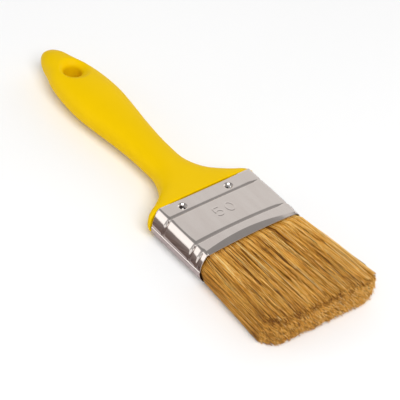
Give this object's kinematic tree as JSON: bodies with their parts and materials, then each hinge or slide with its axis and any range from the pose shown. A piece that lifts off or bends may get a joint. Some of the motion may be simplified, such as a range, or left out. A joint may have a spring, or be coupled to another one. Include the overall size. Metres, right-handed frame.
{
  "type": "flat paint brush",
  "caption": "Flat 50 mm paint brush: moulded handle with hang hole, nailed steel ferrule, and a natural-bristle tuft that bends on a sprung joint.",
  "frame": {"origin": "middle of the brush's length and width, on the surface it lies on (the ferrule's back face)", "axes": "+X from the handle's tip to the bristle ends, +Y across the width, +Z out of the ferrule's front face"},
  "size_m": [0.1761, 0.0524, 0.0152],
  "materials": {
    "handle_plastic": "smooth satin moulded yellow plastic",
    "ferrule_tinplate": "bright tin-plated sheet, satin on the flats",
    "nail_steel": "polished small nail heads",
    "epoxy": "cured amber resin",
    "spacer_wood": "raw softwood strip",
    "bristle": "natural bristle, golden brown, slight sheen"
  },
  "bodies": {
    "root": {"handle": "handle_plastic", "ferrule": "ferrule_tinplate", "nail_front_left": "nail_steel", "nail_front_right": "nail_steel", "nail_back_left": "nail_steel", "nail_back_right": "nail_steel", "epoxy_setting": "epoxy", "spacer_front": "spacer_wood", "spacer_back": "spacer_wood", "bristle_row_front_set": "bristle", "bristle_row_middle_set": "bristle", "bristle_row_back_set": "bristle"},
    "bristle_tuft": {"bristle_row_front_free": "bristle", "bristle_row_middle_free": "bristle", "bristle_row_back_free": "bristle"}
  },
  "joints": [
    {"name": "bristle_flex", "type": "hinge", "parent": "root", "child": "bristle_tuft", "pos_m": [0.05225, 0, 0.007], "axis": [0, 1, 0], "range_deg": [-30, 30], "stiffness_Nm_per_rad": 0.25}
  ]
}
